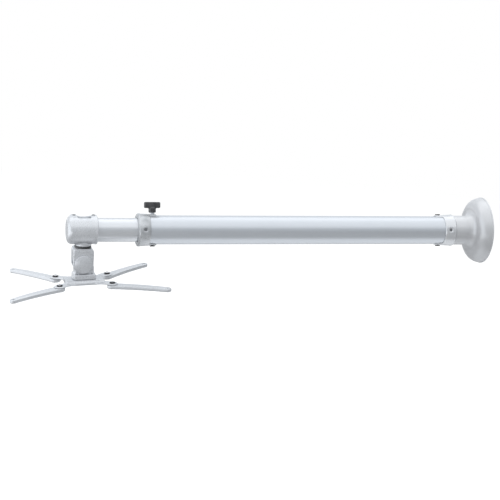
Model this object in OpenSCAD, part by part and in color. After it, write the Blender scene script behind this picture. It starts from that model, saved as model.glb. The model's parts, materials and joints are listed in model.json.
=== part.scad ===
// Telescopic wall arm with a tilting four-armed projector cradle.
// The wall face lies in the plane X = 0, the arm runs along -X and +Z is up.
// The origin is the centre of the wall face, on the axis of the arm.

/* [Arm tubes] */
// Outer diameter of the fixed tube
outer_od = 52.5; // [50:0.5:56]
// Wall of the fixed tube
outer_wall = 2; // [1.5:0.25:2.5]
// Distance from the wall to the open end of the fixed tube
outer_end = 665; // [560:5:800]
// Outer diameter of the sliding tube
inner_od = 43; // [40:0.5:45]
// Wall of the sliding tube
inner_wall = 2; // [1.5:0.25:3]
// Length of sliding tube hidden inside the fixed tube
inner_overlap = 495; // [300:5:540]
// Sliding tube that shows between the collar and the head
inner_show = 72; // [70:1:200]
// Turn of the fixed tube about the arm, knob away from the front
arm_turn = 14.5; // [0:0.5:30]

/* [Guide bushes] */
// Length of the bush in the mouth of the fixed tube
front_bush_len = 50; // [40:1:70]
// Length of the bush on the tail of the sliding tube
rear_bush_len = 40; // [25:1:60]
// Lip of the tail bush behind the sliding tube
rear_bush_lip = 3; // [2:0.5:6]

/* [Wall end] */
// Gap between the edge of the steel wall plate and the cover
wall_plate_gap = 1.5; // [1:0.25:3]
// Thickness of the wall plate
wall_plate_t = 6; // [4:0.5:8]
// Distance from the plate's edge in to the wall screw holes
wall_hole_inset = 13; // [12:0.5:16]
// Diameter of the wall screw holes
wall_hole_d = 8.5; // [6:0.5:10]
// Reach of the spigot that carries the fixed tube
spigot_len = 108; // [106:1:130]
// Wall of the spigot
spigot_wall = 3; // [2:0.5:4]
// Diameter of the bell cover at its rim
bell_d = 125; // [122:1:150]
// Length of the bell cover
bell_len = 60; // [56:1:75]
// Radius of the dome behind the rim
bell_dome_r = 20.5; // [18:0.5:24]
// Radius of the hollow between dome and neck
bell_flare_r = 12; // [8:0.5:15]
// Height of the rim band
bell_rim_h = 2.5; // [2:0.5:6]
// Step from the rim band to the dome
bell_rim_step = 1; // [0.5:0.25:2]
// Wall of the bell cover
bell_wall = 3.5; // [2.5:0.25:4]
// Wall of the neck of the bell cover
bell_neck_wall = 1.2; // [1:0.1:2]

/* [Collars] */
// Greatest diameter of a collar, at its lip
collar_d = 60; // [59.5:0.5:64]
// Diameter of a collar at its other end
collar_tail_d = 57; // [56:0.5:59]
// Length of a collar without its tongues
collar_len = 22; // [20:1:30]
// Length of the lip with the full diameter
collar_lip_len = 5; // [3:0.5:8]
// Reach of a tongue past the collar
tongue_len = 14; // [13:1:22]
// Width of a tongue
tongue_w = 19; // [16:0.5:24]
// Thickness of a tongue over the tube
tongue_t = 2; // [1.5:0.25:3]
// End wall that covers the mouth of the fixed tube
collar_end_wall = 4; // [3:0.5:6]

/* [Clamp knob] */
// Length of the wing bar
knob_bar_len = 30; // [26:1:44]
// Thickness of the wing bar
knob_bar_w = 10; // [8:0.5:12]
// Height of the wing bar
knob_bar_h = 11; // [8:0.5:14]
// Diameter of the hub under the bar
knob_hub_d = 13.5; // [12:0.5:18]
// Height of the hub
knob_hub_h = 8.5; // [6:0.5:12]
// Gap between the tongue and the hub
knob_gap = 2.5; // [2.5:0.25:8]
// Diameter of the clamp stud
stud_d = 8; // [6:0.5:9]
// Thickness of the pressure pad
pad_t = 2.2; // [1.8:0.1:2.8]

/* [Tee head] */
// Outer diameter of the tee
tee_d = 51; // [49.5:0.5:56]
// Length of the tee
tee_len = 54; // [53:1:70]
// Distance from the mouth of the tee to the swivel axis
neck_back = 24; // [22:0.5:26]
// Rounding of the closed end
tee_end_r = 9; // [4:0.5:10]
// Length of the band at the mouth
tee_band_len = 4.5; // [3:0.5:6]
// Diameter of the round window on top, which shows the sliding tube
window_d = 26; // [18:0.5:26]
// Diameter of the boss at the closed end
far_boss_d = 16; // [12:0.5:16]
// Distance from the closed end to the edge of that boss
boss_inset = 4; // [3:0.5:8]
// Diameter of the boss at the mouth
near_boss_d = 12; // [10:0.5:12]
// Height of the screw bosses over the tee
boss_h = 1.7; // [1:0.1:4]
// Diameter of the swivel boss below the tee
neck_d = 28.8; // [26:0.2:32]
// Depth of the swivel boss below the tee
neck_h = 3.3; // [2:0.1:8]

/* [Knuckle] */
// Diameter of the swivel bolt
pan_bolt_d = 10; // [8:0.5:12]
// Thickness of the black swivel washer
pan_washer_t = 3; // [2:0.5:5]
// Diameter of the black swivel washer
pan_washer_d = 30; // [26:0.5:34]
// Width of the yoke along the arm
yoke_w = 36.5; // [34:0.5:44]
// Depth of the yoke across the arm
yoke_depth = 34; // [32:0.5:44]
// Thickness of the yoke's top
yoke_top_t = 5.5; // [4:0.5:7]
// Thickness of the front and back cheeks
cheek_t = 5; // [4.5:0.5:6]
// Thickness of the side walls
yoke_side_t = 4.5; // [3:0.5:5]
// Rounding of the yoke's top corners
yoke_corner_r = 6; // [3:0.5:9]
// Distance from the yoke's top down to the tilt axis
tilt_drop = 27.7; // [27.5:0.1:36]
// Diameter of the tilt bolt
tilt_bolt_d = 8; // [6:0.5:9]
// Diameter of the domed caps
cap_d = 32; // [26:0.5:34]
// Thickness of the tilt washers
tilt_washer_t = 1.2; // [0.8:0.1:2]
// Tilt of the plate as shown, far end down
plate_tilt = 3; // [0:0.5:8]

/* [Cradle plate] */
// Offset of the plate from the tilt axis, towards the wall
plate_shift = 2; // [0:0.5:4]
// Distance from the tilt axis down to the top of the waist
waist_drop = 29.5; // [29.5:0.5:40]
// Width of the pedestal along the arm
pedestal_w = 40; // [38:1:46]
// Depth of the pedestal across the arm
pedestal_depth = 32; // [30:1:38]
// Height of the pedestal above the waist
pedestal_h = 10; // [8:0.5:10.5]
// Width of the flared foot of the lug
flare_w = 44; // [42:1:50]
// Length of the waist
waist_len = 70; // [64:1:74]
// Depth of the waist across the arm
waist_depth = 41; // [38:1:44]
// Height of the waist
waist_h = 9; // [8:0.5:12]
// Wall of the hollow waist
waist_wall = 3; // [2.5:0.25:4]
// Rounding of the waist's long edges
waist_edge_r = 3; // [1:0.5:4]
// Distance between the pivots along the arm
pivot_dx = 94; // [92:1:110]
// Distance between the pivots across the arm
pivot_dy = 62; // [60:1:80]
// Diameter of an ear
ear_d = 21; // [18:0.5:24]
// Thickness of an ear
ear_t = 2.5; // [2.5:0.25:4.5]
// Step from the waist down to the ears
ear_step = 3.5; // [3.5:0.25:6]

/* [Gripper arms] */
// Length of a gripper arm from its pivot to its tip
grip_len = 108; // [90:1:130]
// Width of a gripper arm at its pivot
grip_w = 19; // [18:0.5:22]
// Width of a gripper arm at its tip
grip_tip_w = 13; // [12:0.5:16]
// Height of a gripper arm
grip_h = 7.5; // [7.5:0.5:12]
// Wall of a gripper arm
grip_wall = 2.5; // [2:0.25:3]
// Angle that a gripper arm bends through, from pivot to tip
grip_bend_angle = 13; // [0:1:30]
// Diameter of the screw hole at the tip
tip_hole_d = 5.5; // [4:0.5:6]
// Diameter of a pivot screw
pivot_d = 6; // [5:0.5:6.5]
// Heading angle of the back left arm
angle_back_left = 132.5; // [90:0.5:170]
// Heading angle of the front left arm
angle_front_left = 211.5; // [190:0.5:270]
// Heading angle of the back right arm
angle_back_right = 38; // [10:0.5:90]
// Heading angle of the front right arm
angle_front_right = 335.5; // [270:0.5:350]

/* [Hidden] */

// Fits: fixed parts, running parts, drilled clearance and the space round a loose edge
fixed_gap = 0.05;
run_gap = 0.06;
drill_gap = 0.3;
edge_gap = 0.5;
through = 1;
round_fn = 96;
small_fn = 48;

// Colours
paint_grey = [0.80, 0.82, 0.84];
tube_silver = [0.69, 0.72, 0.76];
steel = [0.62, 0.64, 0.67];
black_steel = [0.07, 0.07, 0.08];
black_plastic = [0.04, 0.04, 0.05];
nylon = [0.86, 0.86, 0.83];

// Wall plate, inside the cover
wall_plate_d = bell_d - 2 * (bell_rim_step + bell_wall + wall_plate_gap);
wall_hole_pcd = wall_plate_d - 2 * wall_hole_inset;

// Radii and stations along the arm, measured from the wall
outer_r = outer_od / 2;
outer_bore_r = outer_r - outer_wall;
inner_r = inner_od / 2;
inner_bore_r = inner_r - inner_wall;
spigot_r = outer_bore_r - fixed_gap;
collar_r = collar_d / 2;
collar_tail_r = collar_tail_d / 2;
tongue_r = outer_r + fixed_gap + tongue_t;
front_lip = outer_end + collar_end_wall;
tee_mouth = front_lip + inner_show;
neck_x = -(tee_mouth + neck_back);
tee_end_wall = 5;
tube_head_end = tee_mouth + tee_len - tee_end_wall - fixed_gap;
tube_tail = outer_end - inner_overlap;
front_bush_start = outer_end - front_bush_len;
screw_inset = 5.5;
front_screw = front_lip - collar_len - tongue_len + screw_inset + 2;
rear_lip = bell_len + fixed_gap;
rear_screw = rear_lip + collar_len + tongue_len - screw_inset - 2;
side_screw_in = 12;

// Screws of the collars: M5, pan heads and recessed set screws
m5_r = 2.5;
m5_head_r = 4.5;
m5_head_h = 1.8;
set_recess_r = 3.6;
set_recess = 1.2;
set_thread_gap = 0.05;

// Clamp stud, measured outwards from the arm's axis
stud_r = stud_d / 2;
pad_r = stud_r - 0.1;
pad_out = inner_r + fixed_gap + pad_t;
hub_base = tongue_r + knob_gap;
bar_base = hub_base + knob_hub_h;
stud_in_knob = 10;

// Head, measured down from the arm's axis
tee_r = tee_d / 2;
neck_r = neck_d / 2;
neck_z = -(tee_r + neck_h);
yoke_z = neck_z - pan_washer_t;
tilt_z = yoke_z - tilt_drop;
pan_r = pan_bolt_d / 2;
pan_head_r = pan_bolt_d * 0.8;
pan_head_h = pan_bolt_d * 0.6;
saddle_t = 3;
saddle_r = 11;
nut_flat = pan_bolt_d * 1.7;
nut_h = 8;
bolt_proud = 0.6;
set_r = 3;

// Knuckle
cheek_in = yoke_depth / 2 - cheek_t;
recess_r = 23;
recess = 0.8;
cheek_face = yoke_depth / 2 - recess;
tilt_r = tilt_bolt_d / 2;
tilt_head_r = 6.5;
tilt_head_h = 3.6;
cap_r = cap_d / 2;
cap_edge = 2.2;
cap_crown = 5;
side_wall_drop = 3.5;
lug_r = 12.5;
lug_half = cheek_in - tilt_washer_t;
tilt_washer_r = 11.5;

// Cradle, measured down from the tilt axis
ear_top = waist_drop + ear_step;
arm_top = ear_top + ear_t;
block_hole_dx = 26;
block_hole_dy = 20;
m4_r = 2;
m4_head_r = 4;
m4_len = 12;
pivot_r = pivot_d / 2;
pivot_head_r = pivot_d * 0.89;
pivot_head_h = pivot_d * 0.55;
pivot_nut_h = 4.8;
pivot_nut_flat = 10;
left_x = -pivot_dx / 2;
right_x = pivot_dx / 2;
back_y = pivot_dy / 2;
front_y = -pivot_dy / 2;
pivots = [[left_x, back_y], [left_x, front_y], [right_x, back_y], [right_x, front_y]];

// Places things by their distance from the wall, with their local +Z away from the wall
// and their local +X up
module on_arm(d) {
    translate([-d, 0, 0]) rotate([0, -90, 0]) children();
}

// The fixed tube and what is screwed to it are turned about the arm
module turned() {
    rotate([-arm_turn, 0, 0]) children();
}

// The cradle is tilted about the tilt axis, its outer end down
module tilted() {
    translate([neck_x, 0, tilt_z]) rotate([0, -plate_tilt, 0]) children();
}

// The plate and what it carries sit a little off the tilt axis
module on_plate() {
    tilted() translate([plate_shift, 0, 0]) children();
}

// A radial hole or pin across the arm at distance d, at an angle from the top
module radial(d, angle, from, to, r) {
    on_arm(d) rotate([0, 0, angle]) translate([from, 0, 0]) rotate([0, 90, 0])
        cylinder(r = r, h = to - from, $fn = small_fn);
}

module tube(from, to, r, bore) {
    on_arm(from) difference() {
        cylinder(r = r, h = to - from, $fn = round_fn);
        translate([0, 0, -through])
            cylinder(r = bore, h = to - from + 2 * through, $fn = round_fn);
    }
}

module hex_nut(flat, h, bore) {
    difference() {
        cylinder(d = flat / cos(30), h = h, $fn = 6);
        translate([0, 0, -through]) cylinder(r = bore, h = h + 2 * through, $fn = small_fn);
    }
}

// Half section of a domed disc with a hollow for a bolt head
module cap_section(r, edge, crown, hollow_r, hollow_h) {
    dome = (pow(r, 2) + pow(crown - edge, 2)) / (2 * (crown - edge));
    difference() {
        intersection() {
            translate([0, crown - dome]) circle(r = dome, $fn = 180);
            square([r, crown]);
        }
        translate([-through, -through]) square([hollow_r + through, hollow_h + through]);
    }
}

// Wall end

module wall_plate() {
    color(steel) difference() {
        union() {
            on_arm(0) cylinder(d = wall_plate_d, h = wall_plate_t, $fn = round_fn);
            on_arm(wall_plate_t / 2) cylinder(r = spigot_r, h = spigot_len - wall_plate_t / 2,
                $fn = round_fn);
            on_arm(wall_plate_t) weld_bead();
        }
        on_arm(wall_plate_t)
            cylinder(r = spigot_r - spigot_wall, h = spigot_len, $fn = round_fn);
        for (a = [45 : 90 : 315]) on_arm(-through) rotate([0, 0, a])
            translate([wall_hole_pcd / 2, 0, 0])
                cylinder(d = wall_hole_d, h = wall_plate_t + 2 * through, $fn = small_fn);
        turned() {
            for (a = [0, 180])
                radial(rear_screw, a, spigot_r - spigot_wall - through, spigot_r + through,
                    m5_r + set_thread_gap);
            for (a = [90, 270])
                radial(rear_lip + side_screw_in, a, spigot_r - spigot_wall - through,
                    spigot_r + through, m5_r + set_thread_gap);
        }
    }
}

// Fillet weld between plate and spigot, inside the foot of the fixed tube
module weld_bead() {
    bead = 0.8;
    rotate_extrude($fn = round_fn) polygon([[spigot_r - spigot_wall / 2, 0],
        [spigot_r - spigot_wall / 2, bead], [spigot_r, 0]]);
}

// Points of an arc about a centre, its first and last points included
function arc_points(c, r, from, to, steps) = [for (i = [0 : steps])
    c + r * [cos(from + (to - from) * i / steps), sin(from + (to - from) * i / steps)]];

// Trumpet cover: rim band, dome and a flare that runs into the neck, with an even wall
module bell_cover() {
    bore = outer_r + edge_gap / 2;
    dome_c = [bell_d / 2 - bell_rim_step - bell_dome_r, bell_rim_h];
    flare_r = bore + bell_neck_wall + bell_flare_r;
    flare_c = [flare_r,
        bell_rim_h + sqrt(pow(bell_dome_r + bell_flare_r, 2) - pow(flare_r - dome_c[0], 2))];
    meet = atan2(flare_c[1] - dome_c[1], flare_c[0] - dome_c[0]);
    inner_flare_r = bell_flare_r + bell_wall;
    inner_end = 180 + acos((flare_r - bore) / inner_flare_r);
    color(paint_grey) on_arm(0) rotate_extrude($fn = 144) polygon(concat(
        [[dome_c[0] + bell_dome_r - bell_wall, 0], [bell_d / 2, 0]],
        arc_points([bell_d / 2 - bell_rim_step, bell_rim_h - bell_rim_step], bell_rim_step, 0, 90, 5),
        arc_points(dome_c, bell_dome_r, 2, meet, 24),
        arc_points(flare_c, bell_flare_r, 176 + meet, 180, 14),
        [[bore + bell_neck_wall, bell_len], [bore, bell_len]],
        arc_points(flare_c, inner_flare_r, inner_end, 180 + meet, 10),
        arc_points(dome_c, bell_dome_r - bell_wall, meet - 4, 0, 18)));
}

module outer_tube() {
    color(tube_silver) difference() {
        tube(wall_plate_t + fixed_gap, outer_end, outer_r, outer_bore_r);
        turned() {
            for (a = [0, 180])
                radial(rear_screw, a, outer_bore_r - through, outer_r + through,
                    m5_r + drill_gap);
            for (a = [90, 270]) {
                radial(rear_lip + side_screw_in, a, outer_bore_r - through,
                    outer_r + through, m5_r + drill_gap);
                radial(front_lip - side_screw_in, a, outer_bore_r - through,
                    outer_r + through, m5_r + drill_gap);
            }
            radial(front_screw, 180, outer_bore_r - through, outer_r + through,
                m5_r + drill_gap);
            radial(front_screw, 0, outer_bore_r - through, outer_r + through,
                stud_r + drill_gap);
        }
    }
}

// Collar around the fixed tube, with its lip at local z = 0 and two tongues along +Z
module collar_shell() {
    lip_round = 3;
    difference() {
        union() {
            rotate_extrude($fn = round_fn) {
                translate([collar_r - lip_round, lip_round]) circle(r = lip_round, $fn = 48);
                square([collar_r - lip_round, collar_lip_len]);
                translate([0, lip_round]) square([collar_r, collar_lip_len - lip_round]);
                polygon([[0, collar_lip_len], [collar_r - 0.5, collar_lip_len],
                    [collar_tail_r, collar_len], [0, collar_len]]);
            }
            intersection() {
                cylinder(r = tongue_r, h = collar_len + tongue_len, $fn = round_fn);
                for (s = [0, 180]) rotate([0, 0, s]) tongue_outline();
            }
        }
        translate([0, 0, -through]) cylinder(r = outer_r + fixed_gap,
            h = collar_len + tongue_len + 2 * through, $fn = round_fn);
    }
}

// Flat outline of one tongue, standing along +X, with a rounded end
module tongue_outline() {
    rotate([0, 90, 0]) linear_extrude(height = tongue_r + through) {
        translate([-collar_len - tongue_len + tongue_w / 2, 0])
            circle(d = tongue_w, $fn = 64);
        translate([-collar_len - tongue_len + tongue_w / 2, -tongue_w / 2])
            square([collar_len + tongue_len - tongue_w / 2 - collar_lip_len, tongue_w]);
    }
}

module recessed_hole(d, angle) {
    radial(d, angle, outer_r - through, collar_r + through, m5_r + set_thread_gap);
    radial(d, angle, collar_tail_r - set_recess, collar_r + through, set_recess_r);
}

module rear_ring() {
    color(paint_grey) turned() difference() {
        on_arm(rear_lip) collar_shell();
        for (a = [0, 180])
            radial(rear_screw, a, outer_r - through, tongue_r + through, m5_r + drill_gap);
        for (a = [90, 270]) recessed_hole(rear_lip + side_screw_in, a);
    }
}

module pan_screw(d, angle, seat, tip) {
    radial(d, angle, tip, seat, m5_r);
    difference() {
        radial(d, angle, seat, seat + m5_head_h, m5_head_r);
        on_arm(d) rotate([0, 0, angle]) translate([seat + m5_head_h / 3, 0, 0])
            rotate([0, 90, 0]) cylinder(r = m5_r * 0.6, h = m5_head_h, $fn = 6);
    }
}

module set_screw(d, angle, seat, tip) {
    difference() {
        radial(d, angle, tip, seat, m5_r);
        on_arm(d) rotate([0, 0, angle]) translate([seat - set_recess, 0, 0])
            rotate([0, 90, 0]) cylinder(r = m5_r * 0.6, h = set_recess + through, $fn = 6);
    }
}

module rear_ring_screws() {
    color(black_steel) turned() for (a = [0, 180])
        pan_screw(rear_screw, a, tongue_r, spigot_r - spigot_wall);
}

module rear_side_screws() {
    color(black_steel) turned() for (a = [90, 270])
        set_screw(rear_lip + side_screw_in, a, collar_tail_r - set_recess,
            spigot_r - spigot_wall);
}

// Mouth of the fixed tube

module front_collar() {
    lip_bore = inner_r + edge_gap;
    color(paint_grey) turned() difference() {
        union() {
            on_arm(front_lip) rotate([180, 0, 0]) collar_shell();
            tube(outer_end, front_lip, outer_r + 2 * fixed_gap, lip_bore);
        }
        radial(front_screw, 0, outer_r - through, tongue_r + through, stud_r + run_gap);
        radial(front_screw, 180, outer_r - through, tongue_r + through, m5_r + drill_gap);
        for (a = [90, 270]) recessed_hole(front_lip - side_screw_in, a);
    }
}

module collar_screw() {
    color(black_steel) turned()
        pan_screw(front_screw, 180, tongue_r, inner_r + edge_gap);
}

module collar_side_screws() {
    color(black_steel) turned() for (a = [90, 270])
        set_screw(front_lip - side_screw_in, a, collar_tail_r - set_recess,
            outer_bore_r + fixed_gap);
}

module front_bush() {
    color(nylon) difference() {
        tube(front_bush_start, outer_end, outer_bore_r - fixed_gap, inner_r + run_gap);
        turned() {
            radial(front_screw, 0, inner_r - through, outer_r, stud_r + run_gap);
            radial(front_screw, 180, inner_r - through, outer_r, m5_r + set_thread_gap);
        }
    }
}

// Pad with a hollow face that bears on the sliding tube
module pressure_pad() {
    color(nylon) turned() difference() {
        radial(front_screw, 0, inner_r - through, pad_out, pad_r);
        tube(front_screw - 2 * stud_r, front_screw + 2 * stud_r, inner_r + fixed_gap, 0.1);
    }
}

module knob_stud() {
    color(steel) turned()
        radial(front_screw, 0, pad_out, bar_base + knob_bar_h - stud_in_knob, stud_r);
}

module clamp_knob() {
    half = (knob_bar_len - knob_bar_w) / 2;
    stud_top = bar_base + knob_bar_h - stud_in_knob;
    color(black_plastic) turned() difference() {
        on_arm(front_screw) rotate([0, 90, 0]) {
            translate([0, 0, hub_base])
                cylinder(d = knob_hub_d, h = knob_hub_h + through, $fn = small_fn);
            translate([0, 0, bar_base]) {
                for (s = [-half, half]) translate([s, 0, 0])
                    cylinder(d = knob_bar_w, h = knob_bar_h, $fn = small_fn);
                translate([-half, -knob_bar_w / 2, 0])
                    cube([2 * half, knob_bar_w, knob_bar_h]);
            }
        }
        radial(front_screw, 0, hub_base - through, stud_top, stud_r);
    }
}

// Sliding tube and head

module rear_bush() {
    color(nylon) {
        tube(tube_tail - rear_bush_lip, tube_tail, outer_bore_r - run_gap,
            inner_bore_r + edge_gap);
        tube(tube_tail, tube_tail + rear_bush_len, outer_bore_r - run_gap, inner_r + run_gap);
    }
}

module inner_tube() {
    color(tube_silver) difference() {
        tube(tube_tail, tube_head_end, inner_r, inner_bore_r);
        translate([neck_x, 0, -inner_r - through])
            cylinder(r = pan_r + drill_gap, h = inner_r, $fn = small_fn);
    }
}

module tee_head() {
    band_proud = 0.6;
    color(paint_grey) difference() {
        union() {
            on_arm(tee_mouth) rotate_extrude($fn = round_fn) {
                translate([tee_r - tee_end_r, tee_len - tee_end_r])
                    circle(r = tee_end_r, $fn = 64);
                square([tee_r - tee_end_r, tee_len]);
                square([tee_r, tee_len - tee_end_r]);
                square([tee_r + band_proud, tee_band_len]);
            }
            for (b = tee_bosses()) translate([b[0], 0, 0])
                cylinder(d = b[1], h = tee_r + boss_h, $fn = small_fn);
            translate([neck_x, 0, neck_z]) cylinder(r = neck_r, h = tee_r, $fn = round_fn);
        }
        tube(tee_mouth - through, tee_mouth + tee_len - tee_end_wall, inner_r + fixed_gap, 0);
        translate([neck_x, 0, 0])
            cylinder(d = window_d, h = tee_d, $fn = round_fn);
        translate([neck_x, 0, -tee_d])
            cylinder(r = pan_r + fixed_gap, h = tee_d, $fn = small_fn);
        for (b = tee_bosses()) translate([b[0], 0, inner_r])
            cylinder(r = set_r + set_thread_gap, h = tee_r, $fn = small_fn);
    }
}

// Place and diameter of the two screw bosses on top of the tee
function tee_bosses() = [
    [-(tee_mouth + tee_len - far_boss_d / 2 - boss_inset), far_boss_d],
    [-(tee_mouth + near_boss_d / 2 + 1), near_boss_d]
];

module tee_set_screws() {
    proud = 0.5;
    color(black_steel) for (b = tee_bosses()) translate([b[0], 0, 0]) difference() {
        translate([0, 0, inner_r])
            cylinder(r = set_r, h = tee_r + boss_h + proud - inner_r, $fn = small_fn);
        translate([0, 0, tee_r + boss_h - set_r])
            cylinder(r = set_r * 0.55, h = set_r + 2 * proud, $fn = 6);
    }
}

module swivel_bolt() {
    seat = -inner_bore_r + saddle_t;
    tip = yoke_z - yoke_top_t - nut_h - bolt_proud;
    color(steel) translate([neck_x, 0, 0]) difference() {
        union() {
            translate([0, 0, tip]) cylinder(r = pan_r, h = seat - tip, $fn = small_fn);
            translate([0, 0, seat]) cylinder(r = pan_head_r, h = pan_head_h, $fn = small_fn);
        }
        translate([0, 0, seat + pan_head_h / 3])
            cylinder(r = pan_r * 0.9, h = pan_head_h, $fn = 6);
    }
}

// Saddle under the bolt head, shaped to the bore of the sliding tube
module bolt_saddle() {
    color(steel) difference() {
        intersection() {
            translate([neck_x, 0, -inner_r])
                cylinder(r = saddle_r, h = inner_wall + saddle_t, $fn = small_fn);
            tube(-neck_x - 2 * saddle_r, -neck_x + 2 * saddle_r, inner_bore_r - fixed_gap, 0);
        }
        translate([neck_x, 0, -inner_r - through])
            cylinder(r = pan_r + fixed_gap, h = inner_r, $fn = small_fn);
    }
}

module swivel_washer() {
    color(black_plastic) translate([neck_x, 0, yoke_z]) difference() {
        cylinder(d = pan_washer_d, h = pan_washer_t, $fn = round_fn);
        translate([0, 0, -through])
            cylinder(r = pan_r + fixed_gap, h = pan_washer_t + 2 * through, $fn = small_fn);
    }
}

module swivel_nut() {
    color(steel) translate([neck_x, 0, yoke_z - yoke_top_t - nut_h])
        hex_nut(nut_flat, nut_h, pan_r);
}

// Yoke: a box with a rounded front and back cheek that reach down past the tilt axis
module yoke() {
    half = yoke_w / 2;
    hollow = yoke_w - 2 * yoke_side_t;
    color(paint_grey) translate([neck_x, 0, tilt_z]) difference() {
        rotate([90, 0, 0]) linear_extrude(height = yoke_depth, center = true) {
            circle(r = half, $fn = round_fn);
            translate([-half, 0]) square([yoke_w, tilt_drop - yoke_corner_r]);
            translate([-half + yoke_corner_r, 0])
                square([yoke_w - 2 * yoke_corner_r, tilt_drop]);
            for (s = [-1, 1])
                translate([s * (half - yoke_corner_r), tilt_drop - yoke_corner_r])
                    circle(r = yoke_corner_r, $fn = 48);
        }
        translate([-hollow / 2, -cheek_in, -yoke_w])
            cube([hollow, 2 * cheek_in, yoke_w + tilt_drop - yoke_top_t]);
        translate([-yoke_w, -cheek_in, -yoke_w])
            cube([2 * yoke_w, 2 * cheek_in, yoke_w + side_wall_drop]);
        cylinder(r = pan_r + run_gap, h = tilt_drop + through, $fn = small_fn);
        rotate([90, 0, 0])
            cylinder(r = tilt_r + fixed_gap, h = yoke_depth + through, center = true,
                $fn = small_fn);
        for (s = [0, 180]) rotate([0, 0, s]) translate([0, -cheek_face, 0])
            rotate([90, 0, 0]) cylinder(r = recess_r, h = yoke_depth, $fn = round_fn);
    }
}

module tilt_bolt() {
    color(steel) translate([neck_x, 0, tilt_z]) rotate([90, 0, 0]) {
        translate([0, 0, -cheek_face - tilt_head_h])
            cylinder(r = tilt_r, h = 2 * cheek_face + tilt_head_h, $fn = small_fn);
        translate([0, 0, cheek_face]) cylinder(r = tilt_head_r, h = tilt_head_h, $fn = 6);
    }
}

module tilt_nut() {
    color(steel) translate([neck_x, cheek_face, tilt_z]) rotate([-90, 0, 0])
        hex_nut(tilt_bolt_d * 1.6, tilt_head_h, tilt_r);
}

// Domed caps over the bolt head and the nut
module tilt_caps() {
    color(paint_grey) for (s = [0, 180])
        translate([neck_x, 0, tilt_z]) rotate([0, 0, s]) translate([0, -cheek_face, 0])
            rotate([90, 0, 0]) rotate_extrude($fn = round_fn)
                cap_section(cap_r, cap_edge, cap_crown, tilt_head_r + 1.2, tilt_head_h + 0.3);
}

module tilt_washers() {
    color(nylon) for (s = [-1, 1])
        translate([neck_x, s * (cheek_in + lug_half) / 2, tilt_z]) rotate([90, 0, 0])
            difference() {
                cylinder(r = tilt_washer_r, h = tilt_washer_t, center = true, $fn = round_fn);
                cylinder(r = tilt_r + fixed_gap, h = 2 * tilt_washer_t, center = true,
                    $fn = small_fn);
            }
}

// Cradle

// Lug on the tilt axis that flares out into the pedestal on the plate
module tilt_block() {
    shoulder = yoke_w / 2;
    shoulder_z = -7;
    foot = flare_w / 2;
    foot_z = -waist_drop + 2;
    flare_r = 24;
    mid = [(foot + shoulder) / 2, (foot_z + shoulder_z) / 2];
    run = [foot - shoulder, foot_z - shoulder_z];
    span = norm(run);
    reach = sqrt(pow(flare_r, 2) - pow(span / 2, 2));
    centre = [mid[0] - run[1] / span * reach, mid[1] + run[0] / span * reach];
    color(paint_grey) tilted() difference() {
        union() {
            rotate([90, 0, 0]) linear_extrude(height = 2 * lug_half, center = true) {
                circle(r = lug_r, $fn = round_fn);
                translate([plate_shift, 0]) difference() {
                    polygon([[-lug_r - plate_shift, 0], [-shoulder, shoulder_z],
                        [-foot, foot_z], [-foot, -waist_drop], [foot, -waist_drop],
                        [foot, foot_z], [shoulder, shoulder_z], [lug_r - plate_shift, 0]]);
                    for (s = [-1, 1]) translate([s * centre[0], centre[1]])
                        circle(r = flare_r, $fn = 180);
                }
            }
            translate([plate_shift - pedestal_w / 2, -pedestal_depth / 2, -waist_drop])
                cube([pedestal_w, pedestal_depth, pedestal_h]);
        }
        rotate([90, 0, 0]) cylinder(r = tilt_r + run_gap, h = yoke_depth, center = true,
            $fn = small_fn);
        translate([plate_shift, 0, 0])
            block_holes(-waist_drop - through, m4_len - waist_wall + through + 1);
    }
}

module block_holes(z, h) {
    for (x = [-1, 1], y = [-1, 1])
        translate([x * block_hole_dx / 2, y * block_hole_dy / 2, z])
            cylinder(r = m4_r + set_thread_gap, h = h, $fn = 32);
}

// Section of the waist across the arm, with round upper edges
module waist_section(depth, h, r) {
    translate([-depth / 2, -h]) square([depth, h - r]);
    translate([-depth / 2 + r, -h]) square([depth - 2 * r, h]);
    for (s = [-1, 1]) translate([s * (depth / 2 - r), -r]) circle(r = r, $fn = 48);
}

module ear_outline() {
    root_r = 8;
    for (p = pivots) hull() {
        translate(p) circle(d = ear_d, $fn = 48);
        translate([sign(p[0]) * (waist_len / 2 - 2 * root_r),
            sign(p[1]) * (waist_depth / 2 - root_r)]) circle(r = root_r, $fn = 32);
    }
}

// Bone-shaped plate: a hollow raised waist with two ears at each end
module cradle_plate() {
    color(paint_grey) on_plate() difference() {
        union() {
            translate([0, 0, -waist_drop]) rotate([90, 0, 90])
                linear_extrude(height = waist_len, center = true)
                    waist_section(waist_depth, waist_h, waist_edge_r);
            translate([0, 0, -arm_top]) linear_extrude(height = ear_t) ear_outline();
        }
        translate([-waist_len / 2 + waist_wall, -waist_depth / 2 + waist_wall,
            -waist_drop - waist_h - through])
            cube([waist_len - 2 * waist_wall, waist_depth - 2 * waist_wall,
                waist_h + through - waist_wall]);
        for (p = pivots) translate([p[0], p[1], -arm_top - through])
            cylinder(r = pivot_r + fixed_gap, h = ear_t + 2 * through, $fn = small_fn);
        block_holes(-waist_drop - waist_h, 2 * waist_h);
    }
}

module block_screws() {
    seat = -waist_drop - waist_wall;
    head_h = 2.4;
    color(steel) on_plate() for (x = [-1, 1], y = [-1, 1])
        translate([x * block_hole_dx / 2, y * block_hole_dy / 2, 0]) {
            translate([0, 0, seat]) cylinder(r = m4_r, h = m4_len, $fn = 32);
            difference() {
                translate([0, 0, seat - head_h]) cylinder(r = m4_head_r, h = head_h, $fn = 32);
                translate([0, 0, seat - 2 * head_h + 1])
                    cylinder(r = m4_r * 0.6, h = head_h, $fn = 6);
            }
        }
}

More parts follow.
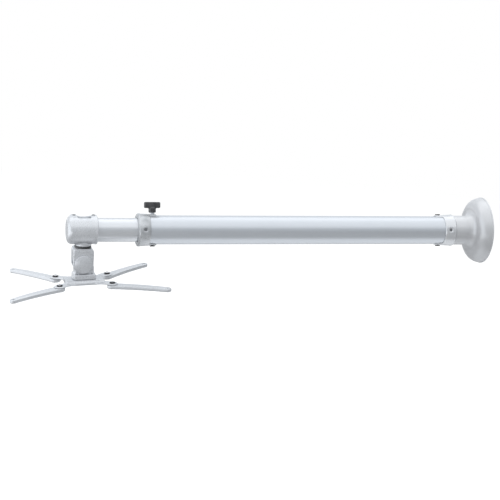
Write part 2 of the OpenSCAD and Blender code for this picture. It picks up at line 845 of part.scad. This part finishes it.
module pivot_screws() {
    socket = pivot_r * 0.7;
    color(black_steel) on_plate() for (p = pivots) translate([p[0], p[1], -ear_top])
        difference() {
            union() {
                rotate_extrude($fn = small_fn)
                    cap_section(pivot_head_r, pivot_head_h / 3, pivot_head_h, 0, 0);
                translate([0, 0, -ear_t - grip_wall - pivot_nut_h])
                    cylinder(r = pivot_r, h = ear_t + grip_wall + pivot_nut_h, $fn = small_fn);
            }
            translate([0, 0, pivot_head_h / 3]) cylinder(r = socket, h = pivot_head_h, $fn = 6);
        }
}

module pivot_nuts() {
    color(steel) on_plate() for (p = pivots)
        translate([p[0], p[1], -arm_top - grip_wall - pivot_nut_h])
            hex_nut(pivot_nut_flat, pivot_nut_h, pivot_r);
}

// Half width of a gripper arm at a share t of its length
function grip_half(t, inset) = (grip_w + (grip_tip_w - grip_w) * t) / 2 - inset;

// Middle line of a gripper arm: an arc that leaves the pivot to the right of the chord
grip_span = grip_len - grip_tip_w / 2;
grip_arc_r = grip_span / (2 * sin(max(grip_bend_angle, 0.5) / 2));
function grip_dir(t) = max(grip_bend_angle, 0.5) * (t - 0.5);
function grip_mid(t) = grip_arc_r * [
    sin(grip_dir(t)) + sin(max(grip_bend_angle, 0.5) / 2),
    cos(max(grip_bend_angle, 0.5) / 2) - cos(grip_dir(t))];
function grip_side(t, side, inset) = grip_mid(t)
    + side * grip_half(t, inset) * [-sin(grip_dir(t)), cos(grip_dir(t))];

// Outline of a gripper arm along +X, with round ends, drawn in by an inset
module grip_outline(inset) {
    steps = 14;
    side = 90 / steps;
    polygon(concat(
        [for (i = [0 : steps]) grip_side(i / steps, -1, inset)],
        arc_points(grip_mid(1), grip_half(1, inset), grip_dir(1) - 90 + side,
            grip_dir(1) + 90 - side, steps),
        [for (i = [steps : -1 : 0]) grip_side(i / steps, 1, inset)],
        arc_points([0, 0], grip_half(0, inset), grip_dir(0) + 90 + side,
            grip_dir(0) + 270 - side, steps)));
}

// Gripper arm: a channel open below, with a hole for the pivot and one at the tip. The arms
// at the wall end bend the other way.
module grip_arm(pivot, heading) {
    tip = grip_mid(1);
    color(paint_grey) on_plate() translate([pivot[0], pivot[1], -arm_top - grip_h])
        rotate([0, 0, heading]) mirror([0, pivot[0] > 0 ? 1 : 0, 0]) difference() {
            linear_extrude(height = grip_h) grip_outline(0);
            translate([0, 0, -through]) linear_extrude(height = grip_h - grip_wall + through)
                grip_outline(grip_wall);
            cylinder(r = pivot_r + run_gap, h = grip_h + through, $fn = small_fn);
            translate([tip[0], tip[1], 0])
                cylinder(d = tip_hole_d, h = grip_h + through, $fn = small_fn);
        }
}

module arm_back_left() { grip_arm(pivots[0], angle_back_left); }
module arm_front_left() { grip_arm(pivots[1], angle_front_left); }
module arm_back_right() { grip_arm(pivots[2], angle_back_right); }
module arm_front_right() { grip_arm(pivots[3], angle_front_right); }

wall_plate();
bell_cover();
outer_tube();
rear_ring();
rear_ring_screws();
rear_side_screws();
front_collar();
collar_screw();
collar_side_screws();
front_bush();
pressure_pad();
knob_stud();
clamp_knob();
rear_bush();
inner_tube();
tee_head();
tee_set_screws();
swivel_bolt();
bolt_saddle();
swivel_washer();
swivel_nut();
yoke();
tilt_bolt();
tilt_nut();
tilt_caps();
tilt_washers();
tilt_block();
cradle_plate();
block_screws();
pivot_screws();
pivot_nuts();
arm_back_left();
arm_front_left();
arm_back_right();
arm_front_right();
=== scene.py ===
"""Visual model of a telescopic projector mount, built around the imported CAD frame. Metres."""
import json
import math

import bmesh
import bpy
import numpy as np
from mathutils import Matrix, Vector
from mathutils.bvhtree import BVHTree
from mathutils.kdtree import KDTree

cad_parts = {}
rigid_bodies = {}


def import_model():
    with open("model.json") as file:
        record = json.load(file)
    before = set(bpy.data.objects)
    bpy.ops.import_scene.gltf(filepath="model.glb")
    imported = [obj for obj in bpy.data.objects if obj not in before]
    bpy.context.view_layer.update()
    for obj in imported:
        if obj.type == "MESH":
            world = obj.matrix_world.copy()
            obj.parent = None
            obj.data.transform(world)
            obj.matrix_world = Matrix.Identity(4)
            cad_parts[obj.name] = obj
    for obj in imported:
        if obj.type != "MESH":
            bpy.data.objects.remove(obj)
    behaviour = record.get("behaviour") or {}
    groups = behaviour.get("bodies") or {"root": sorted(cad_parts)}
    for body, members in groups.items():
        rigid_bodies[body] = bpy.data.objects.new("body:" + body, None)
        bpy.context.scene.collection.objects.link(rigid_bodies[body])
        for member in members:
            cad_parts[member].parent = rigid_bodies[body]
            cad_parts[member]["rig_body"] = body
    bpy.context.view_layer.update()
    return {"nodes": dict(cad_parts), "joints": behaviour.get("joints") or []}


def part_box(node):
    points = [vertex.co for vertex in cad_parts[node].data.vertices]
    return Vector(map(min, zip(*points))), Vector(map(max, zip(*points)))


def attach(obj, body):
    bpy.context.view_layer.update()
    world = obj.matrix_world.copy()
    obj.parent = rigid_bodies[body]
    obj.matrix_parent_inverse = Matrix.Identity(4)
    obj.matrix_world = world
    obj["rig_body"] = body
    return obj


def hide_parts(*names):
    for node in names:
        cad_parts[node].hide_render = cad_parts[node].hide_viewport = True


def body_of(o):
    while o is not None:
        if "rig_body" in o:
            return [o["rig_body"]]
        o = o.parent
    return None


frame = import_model()
nodes = frame["nodes"]
MM = 0.001

# The joint on which each gripper arm swings, by the arm's node
SWINGS = {"arm_" + joint["name"].removesuffix("_swing"): joint
          for joint in frame["joints"] if joint["name"].endswith("_swing")}


# Camera
LENS, SENSOR = 103.0, 36.0
CAMERA_AT = Vector((-1.137, -2.4618, 0.6203))
CAMERA_FORWARD = Vector((0.2584, 0.9332, -0.2496)).normalized()
CAMERA_UP = Vector((0.00297, 0.2581, 0.9658))


def place_camera():
    data = bpy.data.cameras.new("camera")
    data.lens, data.sensor_width = LENS, SENSOR
    camera = bpy.data.objects.new("camera", data)
    bpy.context.scene.collection.objects.link(camera)
    right = CAMERA_FORWARD.cross(CAMERA_UP).normalized()
    up = right.cross(CAMERA_FORWARD)
    turn = Matrix((right, up, -CAMERA_FORWARD)).transposed().to_4x4()
    camera.matrix_world = Matrix.Translation(CAMERA_AT) @ turn
    bpy.context.scene.camera = camera
    bpy.context.scene.view_settings.view_transform = "Standard"


place_camera()


# Shader nodes
def noise(tree, coords, scale, detail, rough, stretch=None):
    if stretch:
        mapping = tree.nodes.new("ShaderNodeMapping")
        mapping.inputs["Scale"].default_value = stretch
        tree.links.new(coords, mapping.inputs["Vector"])
        coords = mapping.outputs["Vector"]
    node = tree.nodes.new("ShaderNodeTexNoise")
    node.inputs["Scale"].default_value = scale
    node.inputs["Detail"].default_value = detail
    node.inputs["Roughness"].default_value = rough
    tree.links.new(coords, node.inputs["Vector"])
    return node.outputs["Fac"]


def ramp_colour(tree, value, low, high, start=0.35, end=0.65):
    node = tree.nodes.new("ShaderNodeValToRGB")
    node.color_ramp.elements[0].position = start
    node.color_ramp.elements[1].position = end
    node.color_ramp.elements[0].color = (*low, 1)
    node.color_ramp.elements[1].color = (*high, 1)
    tree.links.new(value, node.inputs["Fac"])
    return node.outputs["Color"]


def ramp_value(tree, value, low, high, start=0.3, end=0.7, eased=False):
    """Goes from low to high while the value goes from start to end."""
    node = tree.nodes.new("ShaderNodeMapRange")
    if eased:
        node.interpolation_type = "SMOOTHSTEP"
    node.inputs["From Min"].default_value = start
    node.inputs["From Max"].default_value = end
    node.inputs["To Min"].default_value = low
    node.inputs["To Max"].default_value = high
    tree.links.new(value, node.inputs["Value"])
    return node.outputs["Result"]


def choose(tree, operation, first, second):
    """The MINIMUM or MAXIMUM of two values."""
    node = tree.nodes.new("ShaderNodeMath")
    node.operation = operation
    tree.links.new(first, node.inputs[0])
    tree.links.new(second, node.inputs[1])
    return node.outputs[0]


def mix(tree, share, first, second):
    node = tree.nodes.new("ShaderNodeMixShader")
    tree.links.new(share, node.inputs["Fac"])
    tree.links.new(first, node.inputs[1])
    tree.links.new(second, node.inputs[2])
    return node.outputs[0]


def glow(tree, kind, colour=(1, 1, 1), strength=1.0):
    """An Emission or Background shader. The strength is a number or an output."""
    node = tree.nodes.new("ShaderNode" + kind)
    node.inputs["Color"].default_value = (*colour, 1)
    if isinstance(strength, float):
        node.inputs["Strength"].default_value = strength
    else:
        tree.links.new(strength, node.inputs["Strength"])
    return node.outputs[0]


def matt(tree, grey):
    node = tree.nodes.new("ShaderNodeBsdfDiffuse")
    node.inputs["Color"].default_value = (grey, grey, grey, 1)
    return node.outputs[0]


# Materials
# Noise as scale, detail and roughness. A grain gets its scale from its finish
CLOUD_ON_METAL = (38.0, 4.0, 0.55)
CLOUD_ON_SMALL_PIECE = (120.0, 3.0, 0.5)
GRAIN_OF_METAL = (3.0, 0.6)
GRAIN_OF_SMALL_PIECE = (2.0, 0.5)


def new_material(name, metallic):
    """A material with its tree, its Principled shader and object coordinates."""
    made = bpy.data.materials.new(name)
    made.use_nodes = True
    tree = made.node_tree
    shader = tree.nodes["Principled BSDF"]
    shader.inputs["Metallic"].default_value = metallic
    coords = tree.nodes.new("ShaderNodeTexCoord").outputs["Object"]
    return made, tree, shader, coords


def bump(tree, shader, height, distance, strength):
    node = tree.nodes.new("ShaderNodeBump")
    node.inputs["Distance"].default_value = distance
    node.inputs["Strength"].default_value = strength
    tree.links.new(height, node.inputs["Height"])
    tree.links.new(node.outputs["Normal"], shader.inputs["Normal"])


def grained(name, low, high, metallic, rough, cloud, grain, depth, strength, stretch=None):
    """Colour from low to high in soft clouds, and a fine grain in gloss and relief."""
    made, tree, shader, coords = new_material(name, metallic)
    clouds = noise(tree, coords, *cloud)
    tree.links.new(ramp_colour(tree, clouds, low, high), shader.inputs["Base Color"])
    fine = noise(tree, coords, *grain, stretch)
    tree.links.new(ramp_value(tree, fine, *rough), shader.inputs["Roughness"])
    bump(tree, shader, fine, depth, strength)
    return made


def metal_finish(name, low, high, metallic, rough, grain, depth, stretch=None):
    """Satin metal or metallic paint."""
    return grained(name, low, high, metallic, rough, CLOUD_ON_METAL,
                   (grain, *GRAIN_OF_METAL), depth * MM, 0.6, stretch)


def small_finish(name, low, high, metallic, rough, grain, depth):
    """Plastic, or the plain metal of screws."""
    return grained(name, low, high, metallic, rough, CLOUD_ON_SMALL_PIECE,
                   (grain, *GRAIN_OF_SMALL_PIECE), depth * MM, 0.7)


# Each finish takes its darkest and its lightest colour, how metallic it is, its range of
# roughness, and the scale of its grain and the depth in millimetres
PAINT = metal_finish("satin_paint", (0.63, 0.64, 0.66), (0.65, 0.66, 0.68), 0.5,
                     (0.22, 0.27), 900.0, 0.003)
COVER = metal_finish("cover_paint", (0.60, 0.61, 0.63), (0.62, 0.63, 0.65), 0.25,
                     (0.28, 0.34), 900.0, 0.003)
CAST = metal_finish("cast_paint", (0.60, 0.618, 0.645), (0.635, 0.652, 0.68), 0.35,
                    (0.26, 0.30), 900.0, 0.0015)
ROUGH_CAST = metal_finish("rough_casting", (0.38, 0.395, 0.41), (0.60, 0.615, 0.635), 0.4,
                          (0.24, 0.42), 420.0, 0.07)
ALONG_TUBE = (0.03, 1.0, 1.0)
TUBE = metal_finish("satin_tube", (0.575, 0.60, 0.635), (0.585, 0.61, 0.645), 0.62,
                    (0.32, 0.34), 1500.0, 0.0001, ALONG_TUBE)
SLIDING_TUBE = metal_finish("sliding_tube", (0.635, 0.65, 0.675), (0.645, 0.66, 0.685), 0.62,
                            (0.30, 0.32), 1500.0, 0.0001, ALONG_TUBE)
STEEL = metal_finish("plated_steel", (0.52, 0.53, 0.55), (0.62, 0.63, 0.64), 0.9,
                     (0.22, 0.38), 2200.0, 0.0015)
BLACK_STEEL = small_finish("black_steel", (0.018, 0.018, 0.020), (0.036, 0.036, 0.038), 0.5,
                           (0.16, 0.26), 2400.0, 0.004)
GREY_STEEL = small_finish("grey_steel", (0.20, 0.205, 0.215), (0.34, 0.345, 0.36), 0.6,
                          (0.22, 0.34), 2400.0, 0.006)
BLACK_PLASTIC = small_finish("black_plastic", (0.030, 0.030, 0.032), (0.062, 0.062, 0.065), 0.0,
                             (0.20, 0.34), 1300.0, 0.02)
NYLON = small_finish("nylon", (0.62, 0.62, 0.59), (0.70, 0.70, 0.67), 0.0,
                     (0.38, 0.5), 1500.0, 0.01)


def axis_distance(tree, coords, joint):
    """Distance from the axis of a joint."""
    offset = tree.nodes.new("ShaderNodeVectorMath")
    offset.operation = "SUBTRACT"
    offset.inputs[1].default_value = joint["pos_m"]
    tree.links.new(coords, offset.inputs[0])
    across = tree.nodes.new("ShaderNodeVectorMath")
    across.operation = "CROSS_PRODUCT"
    across.inputs[1].default_value = joint["axis"]
    tree.links.new(offset.outputs["Vector"], across.inputs[0])
    length = tree.nodes.new("ShaderNodeVectorMath")
    length.operation = "LENGTH"
    tree.links.new(across.outputs["Vector"], length.inputs[0])
    return length.outputs["Value"]


def screws_with_painted_highlight(radius):
    """The black pivot screws with a painted highlight: their colour turns bright grey out to a
    radius from each pivot axis.
    """
    made, tree, shader, coords = new_material("screws_with_painted_highlight", 0.6)
    distances = [axis_distance(tree, coords, joint) for joint in SWINGS.values()]
    nearest = distances[0]
    for distance in distances[1:]:
        nearest = choose(tree, "MINIMUM", nearest, distance)
    share = ramp_value(tree, nearest, 0.0, 1.0, 0.0, 2 * radius)
    # Painted highlight: bright grey at the middle of each screw head, black further out
    painted_highlight, black = (0.62, 0.62, 0.64), (0.02, 0.02, 0.022)
    colour = ramp_colour(tree, share, painted_highlight, black, 0.42, 0.56)
    tree.links.new(colour, shader.inputs["Base Color"])
    fine = noise(tree, coords, 2400.0, *GRAIN_OF_SMALL_PIECE)
    tree.links.new(ramp_value(tree, fine, 0.18, 0.30), shader.inputs["Roughness"])
    return made


# The nodes of each slot, the slot of each node, and the material of each
SLOT_NODES = {
    "paint": "bell_cover rear_ring front_collar tee_head yoke tilt_caps tilt_block "
             "cradle_plate arm_back_left arm_front_left arm_back_right arm_front_right",
    "tube": "outer_tube inner_tube",
    "steel": "wall_plate knob_stud swivel_bolt bolt_saddle swivel_nut tilt_bolt tilt_nut "
             "block_screws pivot_nuts",
    "black_steel": "rear_ring_screws rear_side_screws collar_screw collar_side_screws "
                   "tee_set_screws pivot_screws",
    "black_plastic": "clamp_knob swivel_washer",
    "nylon": "front_bush rear_bush pressure_pad tilt_washers",
}
FINISH = {name: slot for slot, names in SLOT_NODES.items() for name in names.split()}
SLOT_LOOK = {"paint": PAINT, "tube": TUBE, "steel": STEEL, "black_steel": BLACK_STEEL,
             "black_plastic": BLACK_PLASTIC, "nylon": NYLON}
LOOK = {name: SLOT_LOOK[slot] for name, slot in FINISH.items()}

# Nodes that look different from the rest of their slot
for name in ("tee_head", "yoke", "tilt_caps", "tilt_block", "cradle_plate", *SWINGS):
    LOOK[name] = CAST
for name in ("tee_set_screws", "collar_side_screws", "rear_side_screws"):
    LOOK[name] = GREY_STEEL
LOOK["front_collar"] = ROUGH_CAST
LOOK["bell_cover"] = COVER
LOOK["inner_tube"] = SLIDING_TUBE
# The pivot screws get a painted highlight at the middle of each head
LOOK["pivot_screws"] = screws_with_painted_highlight(3.6 * MM)

for name, node in nodes.items():
    node.data.materials.clear()
    node.data.materials.append(LOOK[name])


# Castings with rounded edges
WELD = 0.001 * MM
# An edge that turns by more than this is rounded
SHARP = math.radians(28)
# Share of the way to its neighbours that a point goes in each pass
STEP = 0.8


def edge_points(body, spacing, wanted):
    """Points along the edges whose signed angle is wanted, as a search tree or None."""
    points = []
    for edge in body.edges:
        if len(edge.link_faces) != 2 or not wanted(edge.calc_face_angle_signed(0.0)):
            continue
        start, end = (vert.co for vert in edge.verts)
        count = max(1, math.ceil((end - start).length / spacing))
        points += [start.lerp(end, i / count) for i in range(count + 1)]
    if not points:
        return None
    found = KDTree(len(points))
    for index, point in enumerate(points):
        found.insert(point, index)
    found.balance()
    return found


def remeshed(source, cell):
    """A copy of a mesh, remeshed in even cells."""
    holder = bpy.data.objects.new("holder", source)
    bpy.context.scene.collection.objects.link(holder)
    cells = holder.modifiers.new("cells", "REMESH")
    cells.mode, cells.voxel_size = "VOXEL", cell
    made = bpy.data.meshes.new_from_object(
        holder.evaluated_get(bpy.context.evaluated_depsgraph_get()))
    bpy.data.objects.remove(holder)
    return made


def read_points(mesh):
    place = np.empty(len(mesh.vertices) * 3)
    mesh.vertices.foreach_get("co", place)
    return place.reshape(-1, 3)


def write_points(mesh, place):
    mesh.vertices.foreach_set("co", place.ravel())
    mesh.update()


def from_axis(place, point, direction):
    """Distance of each row of place from the line through point along direction."""
    across = place - np.array(point)
    along = np.array(direction)
    return np.linalg.norm(across - np.outer(across @ along, along), axis=1)


def ease(value, start, end):
    """Goes smoothly from 0 to 1 while the value goes from start to end."""
    share = np.clip((value - start) / (end - start), 0.0, 1.0)
    return share * share * (3 - 2 * share)


def smoothed(mesh, place, loose, passes):
    """Each loose point moves toward the middle of its neighbours, once in each pass."""
    count = len(place)
    ends = np.empty(len(mesh.edges) * 2, dtype=np.int64)
    mesh.edges.foreach_get("vertices", ends)
    first, second = ends[0::2], ends[1::2]
    share = np.bincount(ends, minlength=count)[:, None]
    for _ in range(passes):
        middle = np.stack([np.bincount(first, place[second, axis], count)
                           + np.bincount(second, place[first, axis], count)
                           for axis in range(3)], axis=1) / share
        place += loose * STEP * (middle - place)
    return place


def softened(node_name, cell, convex, concave, passes, bore=None):
    """A copy of a CAD node with rounded edges and blended corners, in place of the node.

    The copy is remeshed in even cells, and each point goes back onto the CAD surface. Within
    reach of an edge, convex or concave, the points are smoothed as well. Inside the bore, given
    as radius, point and direction, the piece fits closely around another, and edges stay."""
    node = nodes[node_name]
    body = bmesh.new()
    body.from_mesh(node.data)
    bmesh.ops.remove_doubles(body, verts=body.verts, dist=WELD)
    body.normal_update()
    edges = [(edge_points(body, cell, lambda angle: angle > SHARP), convex),
             (edge_points(body, cell, lambda angle: angle < -SHARP), concave)]
    surface = BVHTree.FromBMesh(body)
    welded = bpy.data.meshes.new(node_name + "_welded")
    body.to_mesh(welded)
    body.free()
    mesh = remeshed(welded, cell)
    bpy.data.meshes.remove(welded)
    place = read_points(mesh)
    hold = np.ones(len(place))
    for i, row in enumerate(place):
        point = Vector(row)
        for points, reach in edges:
            if points:
                hold[i] = min(hold[i], points.find(point)[2] / reach)
        place[i] = surface.find_nearest(point)[0]
    if bore:
        radius, point, direction = bore
        hold[from_axis(place, point, direction) < radius] = 1.0
    loose = (1 - ease(hold, 0.0, 1.0))[:, None]
    mesh.polygons.foreach_set("use_smooth", [True] * len(mesh.polygons))
    write_points(mesh, smoothed(mesh, place, loose, passes))
    mesh.materials.clear()
    mesh.materials.append(LOOK[node_name])
    piece = bpy.data.objects.new(node_name + "_finished", mesh)
    bpy.context.scene.collection.objects.link(piece)
    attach(piece, body_of(node)[0])
    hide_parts(node_name)
    return piece


def round_waist(piece):
    """Rolls the long upper edges of the cradle plate's waist over into a broad curve."""
    joint = SWINGS["arm_back_left"]
    normal = np.array(joint["axis"])
    low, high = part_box("cradle_plate")
    middle_x = (low[0] + high[0]) / 2
    flat, edge, drop = 13.5 * MM, 20.5 * MM, 4.0 * MM
    foot, top = -5.5 * MM, 3.5 * MM
    waist, shoulder = 22 * MM, 34 * MM
    place = read_points(piece.data)
    height = (place - np.array(joint["pos_m"])) @ normal
    across = np.clip((np.abs(place[:, 1]) - flat) / (edge - flat), 0.0, 1.0)
    along = 1 - ease(np.abs(place[:, 0] - middle_x), waist, shoulder)
    place -= (drop * across ** 2 * along * ease(height, foot, top))[:, None] * normal
    write_points(piece.data, place)


# node: cell, reach of convex and of concave edges in millimetres, smoothing passes
ARM_SOFT = (0.5, 2.6, 0.8, 40)
SOFT = {
    "tee_head": (0.62, 1.7, 2.6, 26),
    "yoke": (0.5, 1.3, 1.2, 16),
    "tilt_caps": (0.34, 0.9, 0.5, 10),
    "tilt_block": (0.5, 2.6, 3.2, 60),
    "cradle_plate": (0.55, 2.0, 2.6, 30),
    **{arm: ARM_SOFT for arm in SWINGS},
    "front_collar": (0.6, 1.7, 1.6, 22),
    "rear_ring": (0.6, 2.6, 2.0, 44),
    "clamp_knob": (0.4, 2.6, 2.2, 40),
}
# Where a piece fits closely around the tube or a pivot nut: radius, point, direction
TUBE_GRIP = (nodes["outer_tube"].dimensions.y / 2 + 0.9 * MM, (0, 0, 0), (1, 0, 0))
NUT_ROOM = 7.2 * MM
BORE = {"front_collar": TUBE_GRIP, "rear_ring": TUBE_GRIP}
for arm, joint in SWINGS.items():
    BORE[arm] = (NUT_ROOM, joint["pos_m"], joint["axis"])

for node_name, (cell, convex, concave, passes) in SOFT.items():
    piece = softened(node_name, cell * MM, convex * MM, concave * MM, passes,
                     BORE.get(node_name))
    if node_name == "cradle_plate":
        round_waist(piece)


# Studio
MIDDLE = (-0.45, 0.0, 0.0)
HEAD = (-0.765, 0.0, -0.05)


def light_panel(name, centre, target, size, radiance):
    """A soft lamp that the camera doesn't see."""
    data = bpy.data.lights.new(name, "AREA")
    data.shape = "RECTANGLE"
    data.size, data.size_y = size
    data.energy = radiance * math.pi * size[0] * size[1]
    lamp = bpy.data.objects.new(name, data)
    bpy.context.scene.collection.objects.link(lamp)
    lamp.location = centre
    lamp.rotation_mode = "QUATERNION"
    aim = Vector(target) - Vector(centre)
    lamp.rotation_quaternion = aim.to_track_quat("-Z", "Y")
    lamp.visible_camera = False
    return lamp


light_panel("top_back", (-0.45, 0.844, 1.657), MIDDLE, (4.4, 1.25), 0.91)
light_panel("top_front", (-0.45, -0.742, 1.706), MIDDLE, (4.4, 2.25), 0.61)
side_lamp = light_panel("left", (-1.32, -0.22, 0.09), HEAD, (0.45, 0.45), 1.7)
side_lamp.visible_glossy = False


def by_axis(tree, output):
    """The X, Y and Z of the texture coordinates in an output, and the coordinates."""
    coords = tree.nodes.new("ShaderNodeTexCoord").outputs[output]
    split = tree.nodes.new("ShaderNodeSeparateXYZ")
    tree.links.new(coords, split.inputs["Vector"])
    return split.outputs, coords


def studio_world():
    """White to the camera. To reflections, a room that is dim in front, with a wall on the left.

    Matt surfaces get a fill that is stronger from above."""
    world = bpy.data.worlds.new("studio")
    bpy.context.scene.world = world
    world.use_nodes = True
    tree = world.node_tree
    tree.nodes.clear()
    direction, _ = by_axis(tree, "Generated")
    room = ramp_value(tree, direction["Y"], 0.5, 1.0, -0.75, 0.05)
    above = ramp_value(tree, direction["Z"], 0.56, 0.84, 0.0, 0.6)
    left_wall = ramp_value(tree, direction["X"], 2.0, 0.0, -0.95, -0.65, eased=True)
    level = choose(tree, "MAXIMUM", choose(tree, "MAXIMUM", room, above), left_wall)
    mirrored = glow(tree, "Background", (0.84, 0.89, 0.94), level)
    sky = ramp_value(tree, direction["Z"], 0.38, 0.90, -0.1, 0.9)
    fill = glow(tree, "Background", (0.97, 0.985, 1.0), sky)
    white = glow(tree, "Background")
    rays = tree.nodes.new("ShaderNodeLightPath").outputs
    reflected = choose(tree, "MAXIMUM", rays["Is Glossy Ray"], rays["Is Transmission Ray"])
    unseen = mix(tree, reflected, fill, mirrored)
    shown = mix(tree, rays["Is Camera Ray"], unseen, white)
    out = tree.nodes.new("ShaderNodeOutputWorld")
    tree.links.new(shown, out.inputs["Surface"])


studio_world()

FLOOR_Z, FLOOR_R = -0.52, 9.0
FADE_START, FADE_END = 1.2, 3.0
FLOOR_GLARE = 1.4
# How bright the floor is in reflections, along its own X and Y: axis, start and end of a
# ramp, level at its start and end, and the choice between this level and the one so far.
# It is bright below the tubes, dimmer in front, behind, below the head and past the wall,
# and very bright far to the left.
FLOOR_LEVELS = (
    ("Y", -0.50, -0.12, 0.57, FLOOR_GLARE, "MINIMUM"),
    ("Y", 0.12, 0.60, FLOOR_GLARE, 0.7, "MINIMUM"),
    ("X", -0.42, -0.08, 0.48, FLOOR_GLARE, "MINIMUM"),
    ("X", 0.80, 1.30, FLOOR_GLARE, 0.42, "MINIMUM"),
    ("X", -1.55, -0.80, 2.0, 0.0, "MAXIMUM"),
)


def floor_material():
    """Pale and matt, fading to white, and not seen from beneath."""
    made = bpy.data.materials.new("pale_floor")
    # The glow counts only where a ray meets the floor, and isn't sampled like a lamp
    made.cycles.emission_sampling = "NONE"
    made.use_nodes = True
    tree = made.node_tree
    tree.nodes.clear()
    axes, coords = by_axis(tree, "Object")
    rays = tree.nodes.new("ShaderNodeLightPath").outputs
    lift = tree.nodes.new("ShaderNodeAddShader")
    tree.links.new(matt(tree, 0.80), lift.inputs[0])
    tree.links.new(glow(tree, "Emission", strength=0.42), lift.inputs[1])
    near = mix(tree, rays["Is Camera Ray"], matt(tree, 0.27), lift.outputs[0])
    length = tree.nodes.new("ShaderNodeVectorMath")
    length.operation = "LENGTH"
    tree.links.new(coords, length.inputs[0])
    fade = ramp_value(tree, length.outputs["Value"], 0.0, 1.0, FADE_START, FADE_END)
    pale = mix(tree, fade, near, glow(tree, "Emission"))
    level = None
    for axis, start, end, low, high, choice in FLOOR_LEVELS:
        ramp = ramp_value(tree, axes[axis], low, high, start, end, eased=True)
        level = choose(tree, choice, level, ramp) if level else ramp
    mirrored = glow(tree, "Emission", (0.97, 1.0, 1.03), level)
    shown = mix(tree, rays["Is Glossy Ray"], pale, mirrored)
    beneath = tree.nodes.new("ShaderNodeNewGeometry").outputs["Backfacing"]
    clear = tree.nodes.new("ShaderNodeBsdfTransparent").outputs[0]
    out = tree.nodes.new("ShaderNodeOutputMaterial")
    tree.links.new(mix(tree, beneath, shown, clear), out.inputs["Surface"])
    return made


def studio_floor():
    """A pale floor that keeps the shadow."""
    mesh = bpy.data.meshes.new("floor")
    body = bmesh.new()
    bmesh.ops.create_circle(body, cap_ends=True, radius=FLOOR_R, segments=96)
    body.to_mesh(mesh)
    body.free()
    floor = bpy.data.objects.new("floor", mesh)
    floor.location = (MIDDLE[0], MIDDLE[1], FLOOR_Z)
    bpy.context.scene.collection.objects.link(floor)
    mesh.materials.append(floor_material())


studio_floor()
